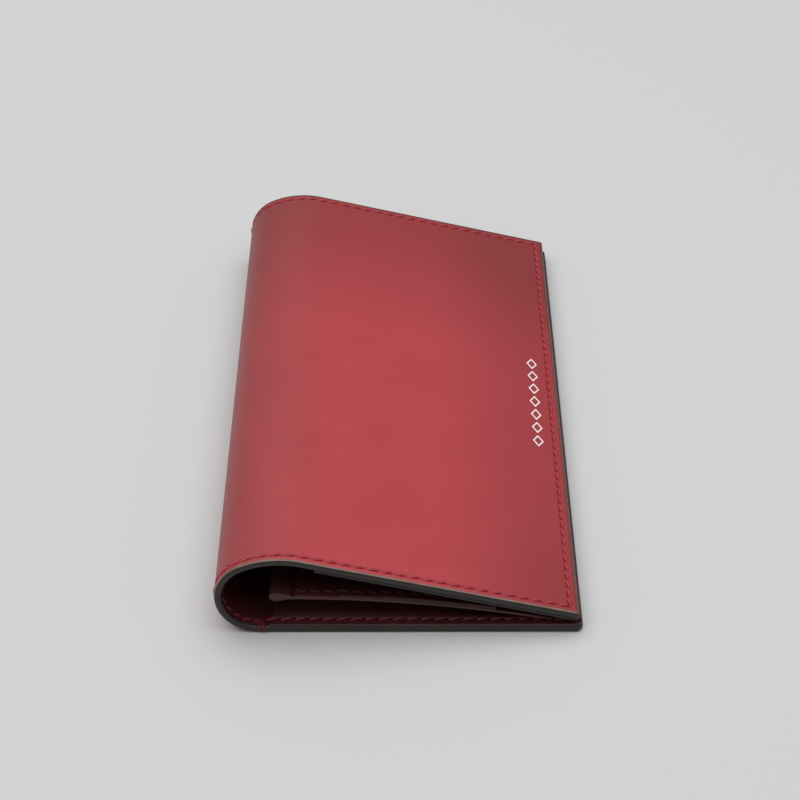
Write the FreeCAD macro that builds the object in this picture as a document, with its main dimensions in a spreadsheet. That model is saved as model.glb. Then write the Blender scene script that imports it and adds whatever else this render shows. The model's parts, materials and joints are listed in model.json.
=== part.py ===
import FreeCAD, Part
import math
import os
import Sketcher

# Long travel passport wallet in stitched leather, closed and lying on its back cover.
# +X points from the rolled spine to the free edge, +Y runs along the length, +Z is up.
# The origin is under the middle of the closed wallet, on the surface that it lies on.

DRIVING_SIZES = {
    "length": "196.0",
    "overall_width": "100.3",
    "spine_radius": "12.0",
    "spine_turn": "155.0",
    "spine_sectors": "4",
    "crown_radius": "26.0",
    "crown_turn": "38.5",
    "crown_sectors": "2",
    "front_reach": "77.4",
    "back_corner_radius": "2.0",
    "front_corner_radius": "0.8",
    "leather": "1.15",
    "lining": "0.85",
    "glue_line": "0.05",
    "back_panel": "0.7",
    "passport_panel": "0.55",
    "ticket_panel": "0.45",
    "fold_gap": "0.12",
    "seam_inset": "2.6",
    "groove_width": "1.5",
    "groove_depth": "0.45",
    "stitch_pitch": "3.85",
    "stitch_run": "3.05",
    "spine_stitch_run": "2.75",
    "stitch_width": "0.7",
    "stitch_height": "0.38",
    "stitch_slant": "14.0",
    "panel_mouth": "14.7",
    "leaf_mouth": "14.8",
    "leaf_mouth_height": "10.7",
    "leaf_root": "92.0",
    "leaf_bow": "2.0",
    "leaf_end_inset": "1.6",
    "leaf_sheet": "0.75",
    "slot_sheet": "0.3",
    "slot_step": "12.0",
    "slot_setback": "7.0",
    "slot_root_setback": "16.0",
    "slot_count": "3",
    "binding": "0.4",
    "binding_width": "6.0",
    "layer_clearance": "0.2",
    "root_strip_gap": "0.4",
    "gusset_wall": "0.5",
    "gusset_wall_share": "0.24",
    "gusset_depth": "7.0",
    "gusset_fold": "1.2",
    "gusset_fold_share": "0.4",
    "gusset_mouth_setback": "1.0",
    "gusset_root_setback": "14.0",
    "gusset_stations": "5",
    "passport_mouth": "4.0",
    "ticket_mouth": "16.0",
    "ticket_margin": "32.0",
    "ticket_end_inset": "5.0",
    "wrap_setback": "0.6",
    "wrap_spacing": "1.3",
    "wrap_foot": "0.3",
    "foil_length": "48.0",
    "foil_height": "3.4",
    "foil_thickness": "0.06",
    "foil_inset": "7.6",
    "foil_count": "7",
    "foil_fill": "0.84",
    "foil_line": "0.42",
    "cut_overrun": "1.0",
}

document = FreeCAD.newDocument("PassportWallet")
sheet = document.addObject("Spreadsheet::Sheet", "dims")
for row, (alias, number) in enumerate(DRIVING_SIZES.items(), start=1):
    sheet.set("A%d" % row, alias)
    sheet.set("B%d" % row, number)
    sheet.setAlias("B%d" % row, alias)
document.recompute()


def size(alias):
    return float(sheet.get(alias))


HALF_LENGTH = size("length") / 2
LEFT_SIDE = -size("overall_width") / 2
SPINE_RADIUS = size("spine_radius")
CROWN_RADIUS = size("crown_radius")
SPINE_TURN = size("spine_turn")
TOTAL_TURN = SPINE_TURN + size("crown_turn")
GLUE = size("glue_line")
SHELL = size("leather") + GLUE + size("lining")
BACK_STACK = SHELL + GLUE + size("back_panel")
SPINE_CENTRE = (LEFT_SIDE + SPINE_RADIUS, SPINE_RADIUS)

sub_parts = []


def keep(thing, label):
    """Names a sub-part and lists it for export."""
    thing.Label = label
    sub_parts.append(thing)
    return thing


def outward(turn):
    """Outward normal of the shell after it has turned this far from the flat back cover."""
    angle = math.radians(turn)
    return (-math.sin(angle), -math.cos(angle))


def on_arc(centre, radius, turn):
    normal = outward(turn)
    return (centre[0] + radius * normal[0], centre[1] + radius * normal[1])


SPINE_END = on_arc(SPINE_CENTRE, SPINE_RADIUS, SPINE_TURN)
CROWN_CENTRE = on_arc(SPINE_CENTRE, SPINE_RADIUS - CROWN_RADIUS, SPINE_TURN)
FRONT_ROOT = on_arc(CROWN_CENTRE, CROWN_RADIUS, TOTAL_TURN)


def in_front_plane(depth=0.0):
    """Placement of a flat piece of the front cover, this deep under its outer face."""
    normal = outward(TOTAL_TURN)
    base = FreeCAD.Vector(FRONT_ROOT[0] - depth * normal[0], 0, FRONT_ROOT[1] - depth * normal[1])
    return FreeCAD.Placement(base, FreeCAD.Rotation(FreeCAD.Vector(0, 1, 0), TOTAL_TURN - 180))


# ---------------------------------------------------------------- flat leather pieces

def origin_plane(body, role):
    for feature in body.Origin.OriginFeatures:
        if feature.Role == role:
            return feature


def outline(body, name, corners):
    """Closed sketch outline; every corner is held by two expressions on the sheet."""
    sketch = body.newObject("Sketcher::SketchObject", name)
    sketch.AttachmentSupport = (origin_plane(body, "XY_Plane"), [""])
    sketch.MapMode = "FlatFace"
    points = []
    for across, along in corners:
        x = float(sketch.evalExpression(across))
        y = float(sketch.evalExpression(along))
        points.append(FreeCAD.Vector(x, y, 0))
    count = len(points)
    for index in range(count):
        sketch.addGeometry(Part.LineSegment(points[index], points[(index + 1) % count]), False)
    for index in range(count):
        following = (index + 1) % count
        sketch.addConstraint(Sketcher.Constraint("Coincident", index, 2, following, 1))
    for index, (across, along) in enumerate(corners):
        x_rule = Sketcher.Constraint("DistanceX", -1, 1, index, 1, points[index].x)
        y_rule = Sketcher.Constraint("DistanceY", -1, 1, index, 1, points[index].y)
        x_index = sketch.addConstraint(x_rule)
        y_index = sketch.addConstraint(y_rule)
        sketch.setExpression("Constraints[%d]" % x_index, across)
        sketch.setExpression("Constraints[%d]" % y_index, along)
    return sketch


def rectangle(low_x, high_x, half_y):
    return [(low_x, "-(%s)" % half_y), (high_x, "-(%s)" % half_y), (high_x, half_y), (low_x, half_y)]


def corner_edges(shape, free_edge):
    """Names of the upright edges at the free edge's two corners."""
    names = []
    for index, edge in enumerate(shape.Edges, start=1):
        at_free_edge = all(abs(vertex.X - free_edge) < 1e-4 for vertex in edge.Vertexes)
        first, last = edge.Vertexes[0], edge.Vertexes[-1]
        if at_free_edge and abs(first.Z - last.Z) > 1e-4 and abs(first.Y - last.Y) < 1e-4:
            names.append("Edge%d" % index)
    return names


def flat_piece(label, low_x, high_x, thickness, placement, upward, half_y="dims.length / 2",
               corner=None):
    """A flat leather piece: a cut outline, padded to the leather's thickness."""
    body = document.addObject("PartDesign::Body", label + "_body")
    sketch = outline(body, label + "_outline", rectangle(low_x, high_x, half_y))
    pad = body.newObject("PartDesign::Pad", label + "_pad")
    pad.Profile = sketch
    pad.Reversed = not upward
    pad.setExpression("Length", thickness)
    document.recompute()
    if corner:
        fillet = body.newObject("PartDesign::Fillet", label + "_corners")
        free_edge = float(sketch.evalExpression(high_x))
        fillet.Base = (pad, corner_edges(pad.Shape, free_edge))
        fillet.setExpression("Radius", corner)
    body.Placement = placement
    document.recompute()
    return keep(body, label)


def seam_groove(body, label, low_x, high_x, into_upward):
    """Cuts the shallow channel that the stitches lie in, along three sides of a cover."""
    middle = "dims.seam_inset"
    outer = "(%s - dims.groove_width / 2)" % middle
    inner = "(%s + dims.groove_width / 2)" % middle
    corners = [
        (low_x, "-(dims.length / 2 - %s)" % outer),
        ("%s - %s" % (high_x, outer), "-(dims.length / 2 - %s)" % outer),
        ("%s - %s" % (high_x, outer), "dims.length / 2 - %s" % outer),
        (low_x, "dims.length / 2 - %s" % outer),
        (low_x, "dims.length / 2 - %s" % inner),
        ("%s - %s" % (high_x, inner), "dims.length / 2 - %s" % inner),
        ("%s - %s" % (high_x, inner), "-(dims.length / 2 - %s)" % inner),
        (low_x, "-(dims.length / 2 - %s)" % inner),
    ]
    sketch = outline(body, label + "_groove_outline", corners)
    volume_before = body.Shape.Volume
    pocket = body.newObject("PartDesign::Pocket", label + "_groove")
    pocket.Profile = sketch
    pocket.Reversed = into_upward
    pocket.setExpression("Length", "dims.groove_depth")
    document.recompute()
    if body.Shape.Volume > volume_before - 1.0:
        raise RuntimeError("the seam groove of %s cuts nothing" % label)


# ---------------------------------------------------------------- curved leather pieces

def roll(label, kind, radius, length, centre, turn_to, span, y_middle=0.0):
    """A cylinder along Y about a centre, as a wedge that ends at one turn of the shell."""
    cylinder = document.addObject("Part::Cylinder", label + kind)
    cylinder.setExpression("Radius", radius)
    cylinder.setExpression("Height", length)
    if span is not None:
        cylinder.setExpression("Angle", span)
    along = FreeCAD.Rotation(FreeCAD.Vector(1, 0, 0), 90)
    start = FreeCAD.Rotation(FreeCAD.Vector(0, 0, 1), -90 - turn_to)
    far_end = y_middle + float(cylinder.evalExpression(length)) / 2
    base = FreeCAD.Vector(centre[0], far_end, centre[1])
    cylinder.Placement = FreeCAD.Placement(base, along.multiply(start))
    return cylinder


def curved_sheet(label, centre, outer_radius, thickness, length, turn_to, span, grooved=False):
    """A sheet bent about an axis along Y: a wedge less its core, less any seam grooves."""
    wedge = roll(label, "_wedge", outer_radius, length, centre, turn_to, span)
    core = roll(label, "_core", "%s - %s" % (outer_radius, thickness),
                length + " + 2 * dims.cut_overrun", centre, turn_to, None)
    waste = [core]
    if grooved:
        for side in (-1, 1):
            middle = side * (HALF_LENGTH - size("seam_inset"))
            end = "_near" if side < 0 else "_far"
            ring = roll(label, end + "_ring", outer_radius + " + dims.cut_overrun",
                        "dims.groove_width", centre, turn_to, None, y_middle=middle)
            bed = roll(label, end + "_bed", outer_radius + " - dims.groove_depth",
                       "dims.groove_width + dims.cut_overrun", centre, turn_to, None,
                       y_middle=middle)
            groove = document.addObject("Part::Cut", label + end + "_groove")
            groove.Base = ring
            groove.Tool = bed
            waste.append(groove)
    tool = core
    if len(waste) > 1:
        tool = document.addObject("Part::MultiFuse", label + "_waste")
        tool.Shapes = waste
    cut = document.addObject("Part::Cut", label + "_sheet")
    cut.Base = wedge
    cut.Tool = tool
    return keep(cut, label)


# ---------------------------------------------------------------- saddle stitching

def stitch(middle, run_axis, up_axis, run):
    """One slanted stitch: a short bar lying on the bed of the groove."""
    width = size("stitch_width")
    bar = Part.makeBox(run, width, size("stitch_height"), FreeCAD.Vector(-run / 2, -width / 2, 0))
    bar.rotate(FreeCAD.Vector(0, 0, 0), FreeCAD.Vector(0, 0, 1), size("stitch_slant"))
    side_axis = up_axis.cross(run_axis)
    frame = FreeCAD.Matrix(run_axis.x, side_axis.x, up_axis.x, middle.x,
                           run_axis.y, side_axis.y, up_axis.y, middle.y,
                           run_axis.z, side_axis.z, up_axis.z, middle.z,
                           0, 0, 0, 1)
    return bar.transformed(frame)


def evenly(low, high):
    """Middles of the stitches that fill a seam from low to high."""
    count = max(1, round((high - low) / size("stitch_pitch")))
    pitch = (high - low) / count
    return [low + pitch * (index + 0.5) for index in range(count)]


def group_part(label, solids, placement=None):
    """One sub-part made of many small separate solids."""
    group = document.addObject("Part::Feature", label + "_group")
    group.Shape = Part.makeCompound(solids)
    group.Placement = placement or FreeCAD.Placement()
    return keep(group, label)


def cover_stitches(root_x, free_x, up):
    """Stitches round the three open sides of a flat cover, in the cover's own plane."""
    inset = size("seam_inset")
    bed = -up.z * size("groove_depth")
    row = HALF_LENGTH - inset
    across = FreeCAD.Vector(1, 0, 0)
    along = FreeCAD.Vector(0, 1, 0)
    run = size("stitch_run")
    stitches = []
    for side in (-1, 1):
        for x in evenly(root_x, free_x - inset):
            stitches.append(stitch(FreeCAD.Vector(x, side * row, bed), across, up, run))
    for y in evenly(-row, row):
        stitches.append(stitch(FreeCAD.Vector(free_x - inset, y, bed), along, up, run))
    return stitches


def sector_stitches(centre, radius, turn_from, turn_to):
    """Stitches round one sector of the spine, at its near and far ends."""
    bed_radius = radius - size("groove_depth")
    arc = math.radians(turn_to - turn_from) * radius
    run = size("spine_stitch_run")
    stitches = []
    for side in (-1, 1):
        for travel in evenly(0, arc):
            turn = turn_from + math.degrees(travel / radius)
            normal = outward(turn)
            place = on_arc(centre, bed_radius, turn)
            up = FreeCAD.Vector(normal[0], 0, normal[1])
            run_axis = FreeCAD.Vector(normal[1], 0, -normal[0])
            middle = FreeCAD.Vector(place[0], side * (HALF_LENGTH - size("seam_inset")), place[1])
            stitches.append(stitch(middle, run_axis, up, run))
    return stitches


# ---------------------------------------------------------------- back cover

SPINE_START_X = "-dims.overall_width / 2 + dims.spine_radius + dims.fold_gap"
FREE_EDGE_X = "dims.overall_width / 2"


def lying_at(height):
    return FreeCAD.Placement(FreeCAD.Vector(0, 0, height), FreeCAD.Rotation())


def make_back_cover():
    corner = "dims.back_corner_radius"
    shell = flat_piece("back_cover_leather", SPINE_START_X, FREE_EDGE_X, "dims.leather",
                       lying_at(0), upward=True, corner=corner)
    seam_groove(shell, "back_cover_leather", SPINE_START_X, FREE_EDGE_X, into_upward=True)
    flat_piece("back_cover_lining", SPINE_START_X, FREE_EDGE_X, "dims.lining",
               lying_at(size("leather") + GLUE), upward=True, corner=corner)
    flat_piece("back_pocket_panel", "-dims.overall_width / 2 + dims.panel_mouth", FREE_EDGE_X,
               "dims.back_panel", lying_at(SHELL + GLUE), upward=True, corner=corner)
    flat_piece("leaf_root_strip",
               "-dims.overall_width / 2 + dims.leaf_root + dims.root_strip_gap", FREE_EDGE_X,
               "dims.leaf_sheet", lying_at(BACK_STACK + GLUE), upward=True,
               half_y="dims.length / 2 - dims.leaf_end_inset", corner=corner)
    underside = FreeCAD.Vector(0, 0, -1)
    start = LEFT_SIDE + SPINE_RADIUS
    group_part("back_cover_stitching", cover_stitches(start, -LEFT_SIDE, underside))


def wrap_stitch(x, side):
    """One stitch that passes over the edge of the back cover's layers and down its end."""
    width = size("stitch_width")
    height = size("stitch_height")
    inset = size("seam_inset")
    foot = size("wrap_foot")
    top = Part.makeBox(width, inset + height, height,
                       FreeCAD.Vector(x - width / 2, -HALF_LENGTH - height, SHELL))
    drop = Part.makeBox(width, height, SHELL - foot,
                        FreeCAD.Vector(x - width / 2, -HALF_LENGTH - height, foot))
    wrap = top.fuse(drop).removeSplitter()
    if side > 0:
        wrap = wrap.mirror(FreeCAD.Vector(0, 0, 0), FreeCAD.Vector(0, 1, 0))
    return wrap


def make_mouth_wraps():
    """Reinforcing wraps beside the mouth of the back pocket, two at each end."""
    first = LEFT_SIDE + size("panel_mouth") - size("wrap_setback")
    wraps = []
    for side in (-1, 1):
        for index in (0, 1):
            wraps.append(wrap_stitch(first - index * size("wrap_spacing"), side))
    group_part("pocket_mouth_wraps", wraps)


# ---------------------------------------------------------------- rolled spine

def make_spine():
    """Six rigid sectors of the one bent shell: four round the spine and two over its crown."""
    sections = (
        ("spine", SPINE_CENTRE, SPINE_RADIUS, 0.0),
        ("crown", CROWN_CENTRE, CROWN_RADIUS, SPINE_TURN),
    )
    number = 0
    for section, centre, radius, first_turn in sections:
        count = int(size(section + "_sectors"))
        share = size(section + "_turn") / count
        gap = math.degrees(size("fold_gap") / radius)
        radius_cell = "dims.%s_radius" % section
        span = "dims.%s_turn / dims.%s_sectors - 360 / pi * dims.fold_gap / %s" % (
            section, section, radius_cell)
        for index in range(count):
            number += 1
            turn_from = first_turn + share * index
            turn_to = turn_from + share
            curved_sheet("spine_leather_%d" % number, centre, radius_cell, "dims.leather",
                         "dims.length", turn_to - gap, span, grooved=True)
            curved_sheet("spine_lining_%d" % number, centre,
                         radius_cell + " - dims.leather - dims.glue_line", "dims.lining",
                         "dims.length", turn_to - gap, span)
            group_part("spine_stitching_%d" % number,
                        sector_stitches(centre, radius, turn_from, turn_to))


# ---------------------------------------------------------------- front cover

def make_front_cover():
    """The front cover's pieces; local +X runs down the cover from the spine to the free edge."""
    start = "dims.fold_gap"
    reach = "dims.front_reach"
    corner = "dims.front_corner_radius"
    shell = flat_piece("front_cover_leather", start, reach, "dims.leather", in_front_plane(),
                       upward=False, corner=corner)
    seam_groove(shell, "front_cover_leather", start, reach, into_upward=False)
    depth = size("leather") + GLUE
    flat_piece("front_cover_lining", start, reach, "dims.lining", in_front_plane(depth=depth),
               upward=False, corner=corner)
    depth = SHELL + GLUE
    flat_piece("passport_panel", "dims.passport_mouth", reach, "dims.passport_panel",
               in_front_plane(depth=depth), upward=False, corner=corner)
    depth += size("passport_panel") + GLUE
    flat_piece("ticket_panel", "dims.ticket_mouth", "dims.front_reach - dims.ticket_margin",
               "dims.ticket_panel", in_front_plane(depth=depth), upward=False,
               half_y="dims.length / 2 - dims.ticket_end_inset")
    group_part("front_cover_stitching",
                cover_stitches(0, size("front_reach"), FreeCAD.Vector(0, 0, 1)), in_front_plane())
    make_foil_ornament()


def lozenge(middle_x, middle_y, half_x, half_y):
    points = [
        FreeCAD.Vector(middle_x - half_x, middle_y, 0),
        FreeCAD.Vector(middle_x, middle_y + half_y, 0),
        FreeCAD.Vector(middle_x + half_x, middle_y, 0),
        FreeCAD.Vector(middle_x, middle_y - half_y, 0),
    ]
    return Part.Face(Part.makePolygon(points + points[:1]))


def make_foil_ornament():
    """A row of small open lozenges in foil, stamped along the free edge."""
    middle_x = size("front_reach") - size("foil_inset")
    count = int(size("foil_count"))
    step = size("foil_length") / count
    half_x = size("foil_height") / 2
    half_y = step * size("foil_fill") / 2
    inner = 1 - size("foil_line") * math.hypot(1 / half_x, 1 / half_y)
    rings = []
    for index in range(count):
        middle_y = (index - (count - 1) / 2) * step
        outer_face = lozenge(middle_x, middle_y, half_x, half_y)
        opening = lozenge(middle_x, middle_y, half_x * inner, half_y * inner)
        ring = outer_face.cut(opening)
        rings.append(ring.extrude(FreeCAD.Vector(0, 0, size("foil_thickness"))).Solids[0])
    group_part("foil_ornament", rings, in_front_plane())


# ---------------------------------------------------------------- card leaf and gussets

LEAF_ROOT = (LEFT_SIDE + size("leaf_root"), BACK_STACK + size("layer_clearance"))
LEAF_MOUTH = (LEFT_SIDE + size("leaf_mouth"), size("leaf_mouth_height"))
LEAF_CHORD = math.dist(LEAF_ROOT, LEAF_MOUTH)
LEAF_RISE = math.atan2(LEAF_MOUTH[1] - LEAF_ROOT[1], LEAF_ROOT[0] - LEAF_MOUTH[0])
LEAF_RADIUS = LEAF_CHORD ** 2 / (8 * size("leaf_bow")) + size("leaf_bow") / 2
LEAF_CENTRE = (
    (LEAF_ROOT[0] + LEAF_MOUTH[0]) / 2 - math.sin(LEAF_RISE) * (LEAF_RADIUS - size("leaf_bow")),
    (LEAF_ROOT[1] + LEAF_MOUTH[1]) / 2 - math.cos(LEAF_RISE) * (LEAF_RADIUS - size("leaf_bow")),
)
LEAF_SPAN = 2 * math.degrees(math.asin(LEAF_CHORD / 2 / LEAF_RADIUS))
LEAF_ROOT_TURN = 180 + math.degrees(math.asin(
    (LEAF_ROOT[0] - LEAF_CENTRE[0]) / LEAF_RADIUS))


def leaf_underside(x):
    return LEAF_CENTRE[1] + math.sqrt(LEAF_RADIUS ** 2 - (x - LEAF_CENTRE[0]) ** 2)


def leaf_sheet(label, lift, thickness, mouth_setback, root_setback=0.0):
    """One bowed sheet of the leaf, held back from the leaf's mouth and from its sewn root."""
    mouth_share = math.degrees(mouth_setback / LEAF_RADIUS)
    root_share = math.degrees(root_setback / LEAF_RADIUS)
    span = LEAF_SPAN - mouth_share - root_share
    outer = "%.6f + %s" % (LEAF_RADIUS, lift)
    return curved_sheet(label, LEAF_CENTRE, outer + " + " + thickness, thickness,
                        "dims.length - 2 * dims.leaf_end_inset", LEAF_ROOT_TURN - root_share,
                        "%.6f" % span)


def make_card_leaf():
    leaf_sheet("leaf_base", "0", "dims.leaf_sheet", 0)
    lift = "dims.leaf_sheet + dims.glue_line"
    for index in range(int(size("slot_count"))):
        setback = size("slot_setback") + size("slot_step") * index
        leaf_sheet("card_slot_%d" % (index + 1), lift, "dims.slot_sheet", setback,
                   size("slot_root_setback"))
        lift += " + dims.slot_sheet + dims.glue_line"
    binding_root = math.radians(LEAF_SPAN) * LEAF_RADIUS - size("binding_width")
    leaf_sheet("leaf_edge_binding", "dims.leaf_sheet + dims.glue_line", "dims.binding", 0,
               binding_root)


def gusset_section(x, side):
    """Folded V section of a gusset at one place along the leaf, open towards the outside."""
    wall = size("gusset_wall")
    low = BACK_STACK
    high = leaf_underside(x) - size("layer_clearance")
    middle = (low + high) / 2
    outer = HALF_LENGTH - size("seam_inset")
    inner = outer - size("gusset_depth")
    flap = min(wall, (high - low) * size("gusset_wall_share"))
    fold = flap * size("gusset_fold_share")
    profile = [
        (outer, low), (outer, low + flap), (inner + size("gusset_fold"), middle),
        (outer, high - flap), (outer, high), (inner, middle + fold), (inner, middle - fold),
    ]
    points = [FreeCAD.Vector(x, side * y, z) for y, z in profile]
    return Part.makePolygon(points + points[:1])


def make_gussets():
    """The folded end walls of the compartment between the back panel and the leaf."""
    first = LEAF_MOUTH[0] + size("gusset_mouth_setback")
    last = LEAF_ROOT[0] - size("gusset_root_setback")
    runs = int(size("gusset_stations")) - 1
    stations = [first + (last - first) * step / runs for step in range(runs + 1)]
    for side, label in ((-1, "near_gusset"), (1, "far_gusset")):
        sections = [gusset_section(x, side) for x in stations]
        gusset = document.addObject("Part::Feature", label + "_folded")
        gusset.Shape = Part.makeLoft(sections, True, True)
        gusset.Placement = FreeCAD.Placement()
        keep(gusset, label)


def check_and_export():
    document.recompute()
    for thing in document.Objects:
        if "Invalid" in thing.State or "Error" in thing.State:
            raise RuntimeError("%s is in state %s" % (thing.Name, thing.State))
    os.makedirs("parts", exist_ok=True)
    for thing in sub_parts:
        if thing.Shape.isNull() or not thing.Shape.isValid():
            raise RuntimeError("%s has no valid shape" % thing.Label)
    for thing in sub_parts:
        thing.Shape.exportStep("parts/%s.step" % thing.Label)
        box = thing.Shape.BoundBox
        print("%-24s solids %3d  volume %9.2f  z %6.2f to %6.2f" % (
            thing.Label, len(thing.Shape.Solids), thing.Shape.Volume, box.ZMin, box.ZMax))


make_back_cover()
make_mouth_wraps()
make_spine()
make_front_cover()
make_card_leaf()
make_gussets()
check_and_export()
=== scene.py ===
import json
import math

import bmesh
import bpy
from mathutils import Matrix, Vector


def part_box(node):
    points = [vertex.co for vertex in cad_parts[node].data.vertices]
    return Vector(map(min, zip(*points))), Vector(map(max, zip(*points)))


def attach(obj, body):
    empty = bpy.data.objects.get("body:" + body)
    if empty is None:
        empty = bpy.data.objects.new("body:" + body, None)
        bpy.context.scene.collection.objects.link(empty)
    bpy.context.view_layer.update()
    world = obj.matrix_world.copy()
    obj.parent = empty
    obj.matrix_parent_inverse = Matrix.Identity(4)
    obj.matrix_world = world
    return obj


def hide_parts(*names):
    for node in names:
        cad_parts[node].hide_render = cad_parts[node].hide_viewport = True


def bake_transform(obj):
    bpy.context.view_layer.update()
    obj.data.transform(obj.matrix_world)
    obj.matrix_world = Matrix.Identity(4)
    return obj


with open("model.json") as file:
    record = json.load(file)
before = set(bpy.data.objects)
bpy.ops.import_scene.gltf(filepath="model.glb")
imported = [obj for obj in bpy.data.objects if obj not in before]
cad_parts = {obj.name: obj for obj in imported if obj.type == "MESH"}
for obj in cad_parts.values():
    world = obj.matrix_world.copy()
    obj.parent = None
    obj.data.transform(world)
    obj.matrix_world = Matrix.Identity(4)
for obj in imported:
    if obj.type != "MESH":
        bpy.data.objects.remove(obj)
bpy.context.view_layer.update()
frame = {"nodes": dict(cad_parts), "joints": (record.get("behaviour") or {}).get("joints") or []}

# ---------------- sizes, in metres

MM = 0.001

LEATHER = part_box("back_cover_leather")[1][2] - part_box("back_cover_leather")[0][2]
LINING_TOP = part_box("back_cover_lining")[1][2]
PANEL_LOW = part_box("back_pocket_panel")[0][2]
PANEL_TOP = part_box("back_pocket_panel")[1][2]
FREE_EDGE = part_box("back_cover_leather")[1][0]
HALF_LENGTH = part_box("back_cover_leather")[1][1]
PANEL_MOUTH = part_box("back_pocket_panel")[0][0]
FRONT_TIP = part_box("front_cover_leather")[1][0]

PASSPORT_PANEL = 0.55 * MM
TICKET_PANEL = 0.45 * MM
GLUE = 0.05 * MM
PASSPORT_MOUTH = 4.0 * MM
TICKET_MOUTH = 16.0 * MM
TICKET_MARGIN = 32.0 * MM
TICKET_INSET = 5.0 * MM
BACK_CORNER = 2.0 * MM
FRONT_CORNER = 0.8 * MM

LEAF_BOW = 2.0 * MM
LEAF_RISE = 7.7 * MM
LEAF_SHEET = 0.75 * MM
SLOT_SHEET = 0.3 * MM
SLOT_COUNT = 3
SLOT_ROOT = 16.0 * MM
SLOT_STEP = 12.0 * MM
SLOT_GAPE = 0.22 * MM
BINDING_WIDTH = 6.0 * MM
HEM_HALF = 0.62 * MM
HEM_MIDDLE = 0.6 * MM
HEM_SWELL = 0.7 * MM
HEM_NOSE = 1.3 * MM

SEAM_INSET = 2.6 * MM
GROOVE_HALF_WIDTH = 0.85 * MM
GROOVE_DEPTH = 0.3 * MM
STITCH_PITCH = 3.85 * MM
STITCH_RUN = 3.8 * MM
STITCH_WIDTH = 1.1 * MM
STITCH_SLANT = math.radians(15)
BEAD_INSET = 0.7 * MM
BEAD_BULGE = 0.14 * MM
PANEL_BEAD_INSET = 0.3 * MM

JOINTS = {joint["name"]: joint for joint in frame["joints"]}
FOLDS = [Vector(JOINTS["spine_hinge_%d" % number]["pos_m"]) for number in range(1, 8)]


# ---------------- surfaces

class Straight:
    """A flat run of the shell's outer face."""

    def __init__(self, start, heading, length):
        self.start, self.heading, self.length = start, heading, length

    def at(self, travel):
        outward = Vector((self.heading.z, 0, -self.heading.x)) * -1
        return self.start + self.heading * travel, outward


class Bend:
    """A run that turns with one radius; it leaves start along heading and reaches end."""

    def __init__(self, start, heading, end):
        self.start = start
        across = Vector((heading.z, 0, -heading.x))
        reach = end - start
        self.radius = reach.length_squared / (2 * reach.dot(across))
        self.centre = start + across * self.radius
        self.turn = 2 * math.asin(reach.length / 2 / self.radius)
        self.length = self.radius * self.turn
        self.heading = heading
        self.across = across

    def at(self, travel):
        angle = travel / self.radius
        outward = self.heading * math.sin(angle) - self.across * math.cos(angle)
        return self.centre + outward * self.radius, outward

    def leaving(self):
        return self.heading * math.cos(self.turn) + self.across * math.sin(self.turn)


class Surface:
    """Places a point from its travel along the leather, its place along the length and its depth."""

    def __init__(self, runs):
        self.runs = runs
        self.length = sum(run.length for run in runs)

    def place(self, travel, along, depth=0.0):
        left = travel
        for run in self.runs:
            if left <= run.length or run is self.runs[-1]:
                point, outward = run.at(left)
                spot = point - outward * depth
                return Vector((spot.x, along, spot.z))
            left -= run.length


def make_shell():
    """The outer face of the one bent sheet: back cover, six folds of the spine, front cover."""
    heading = Vector((-1, 0, 0))
    start = Vector((FREE_EDGE, 0, 0))
    runs = [Straight(start, heading, FREE_EDGE - FOLDS[0].x)]
    for first, second in zip(FOLDS, FOLDS[1:]):
        bend = Bend(first, heading, second)
        runs.append(bend)
        heading = bend.leaving()
    runs.append(Straight(FOLDS[-1], heading, (FRONT_TIP - FOLDS[-1].x) / heading.x))
    return Surface(runs)


SHELL = make_shell()


def rounded(travel, along, inset):
    """Draws the places beside a cover's square corner in, so that they follow its round outline."""
    for radius_in, across in ((BACK_CORNER - inset, BACK_CORNER - travel),
                           (FRONT_CORNER - inset, travel - SHELL.length + FRONT_CORNER)):
        corner = radius_in + inset
        beyond = abs(along) - (HALF_LENGTH - corner)
        if across > 0 and beyond > 0:
            u, v = across / radius_in, beyond / radius_in
            new_across = across * math.sqrt(1 - v * v / 2)
            new_beyond = beyond * math.sqrt(1 - u * u / 2)
            shift = across - new_across
            travel += shift if corner == BACK_CORNER else -shift
            along = math.copysign(HALF_LENGTH - corner + new_beyond, along)
            break
    return travel, along


FOLD_TRAVEL = [sum(run.length for run in SHELL.runs[:index + 1]) for index in range(7)]
BACK_PANEL_END = FREE_EDGE - PANEL_MOUTH
FRONT_START = FOLD_TRAVEL[-1]
ROOT_STRIP_LOW, ROOT_STRIP_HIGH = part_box("leaf_root_strip")
ROOT_STRIP_END = FREE_EDGE - ROOT_STRIP_LOW.x
STRIP_TOP = ROOT_STRIP_HIGH.z


def make_leaf():
    """The bowed underside of the card leaf, from its root to its mouth."""
    root = Vector(JOINTS["leaf_hinge"]["pos_m"])
    low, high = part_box("leaf_base")
    mouth = Vector((low.x, 0, root.z + LEAF_RISE))
    chord = (mouth - root).length
    radius = chord ** 2 / (8 * LEAF_BOW) + LEAF_BOW / 2
    half_turn = math.asin(chord / 2 / radius)
    along = (mouth - root).normalized()
    up = Vector((-along.z, 0, along.x)) * -1
    heading = along * math.cos(half_turn) + up * math.sin(half_turn)
    return Surface([Bend(root, heading, mouth)])


# ---------------- mesh tools

def spread(low, high, step):
    """Even values from low to high, no further apart than the step."""
    count = max(1, math.ceil((high - low) / step - 1e-9))
    return [low + (high - low) * index / count for index in range(count + 1)]


def merged(*lists):
    """Sorted values with near doubles left out."""
    values = sorted(value for items in lists for value in items)
    kept = values[:1]
    for value in values[1:]:
        if value - kept[-1] > 0.02 * MM:
            kept.append(value)
    return kept


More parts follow.
